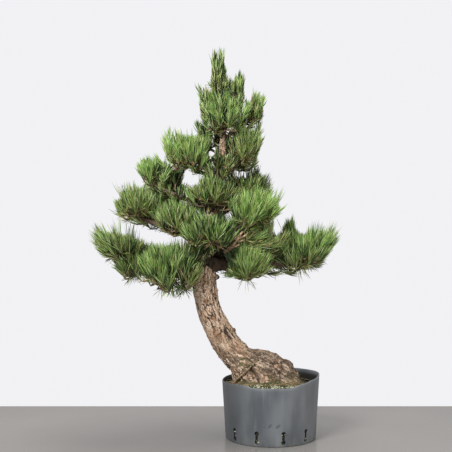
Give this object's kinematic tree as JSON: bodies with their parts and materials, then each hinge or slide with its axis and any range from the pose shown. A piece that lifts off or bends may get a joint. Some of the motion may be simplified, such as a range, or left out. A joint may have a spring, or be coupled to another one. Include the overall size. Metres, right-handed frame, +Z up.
{
  "type": "potted japanese black pine bonsai",
  "caption": "Black pine bonsai with a leaning, curved trunk, layered boughs of stiff needles and a slotted round training pot.",
  "frame": {"origin": "middle of the pot's flat underside", "axes": "+Z up, +X to the right in the front view, +Y away from the viewer"},
  "size_m": [0.6387, 0.366, 0.9466],
  "materials": {
    "pot_plastic": "grey moulded plastic, dull, with faint upright streaks and a hand-cut rim",
    "soil": "damp gritty soil with moss, lichen and fallen needles",
    "bark": "flaking plates of pinkish tan and grey bark with dark fissures",
    "needles": "stiff green needles, satin, brighter on the young shoots"
  },
  "bodies": {
    "root": {"pot": "pot_plastic", "soil": "soil", "trunk": "bark", "bough_low_left": "bark", "bough_low_left_mid": "bark", "bough_low_left_front": "bark", "bough_second_left": "bark", "bough_second_left_mid": "bark", "bough_second_left_front": "bark", "bough_third_left": "bark", "bough_third_left_back": "bark", "bough_fourth_left": "bark", "bough_centre_low": "bark", "bough_right_front": "bark", "bough_right_under": "bark", "bough_right_mid": "bark", "bough_right_upper": "bark", "bough_low_right": "bark", "bough_low_right_front": "bark", "bough_low_right_mid": "bark", "bough_low_right_back": "bark", "bough_back_low": "bark", "bough_back_left": "bark", "bough_back_right": "bark", "bough_back_mid": "bark", "bough_back_upper": "bark", "foliage_low_left_tip": "needles", "foliage_low_left_mid": "needles", "foliage_low_left_front": "needles", "foliage_low_left_inner": "needles", "foliage_second_left_tip": "needles", "foliage_second_left_mid": "needles", "foliage_second_left_front": "needles", "foliage_third_left": "needles", "foliage_third_left_back": "needles", "foliage_fourth_left": "needles", "foliage_upper_left_back": "needles", "foliage_upper_front": "needles", "foliage_centre_upper": "needles", "foliage_centre_low": "needles", "foliage_right_mid": "needles", "foliage_right_front": "needles", "foliage_right_under": "needles", "foliage_right_upper": "needles", "foliage_low_right_front": "needles", "foliage_low_right_mid": "needles", "foliage_low_right_back": "needles", "foliage_low_right_tip": "needles", "foliage_apex_leader": "needles", "foliage_apex_left": "needles", "foliage_apex_front": "needles", "foliage_apex_right": "needles", "foliage_apex_outer": "needles", "foliage_apex_back": "needles", "foliage_back_low": "needles", "foliage_back_left": "needles", "foliage_back_mid": "needles", "foliage_back_right": "needles", "foliage_back_upper": "needles"}
  },
  "joints": []
}
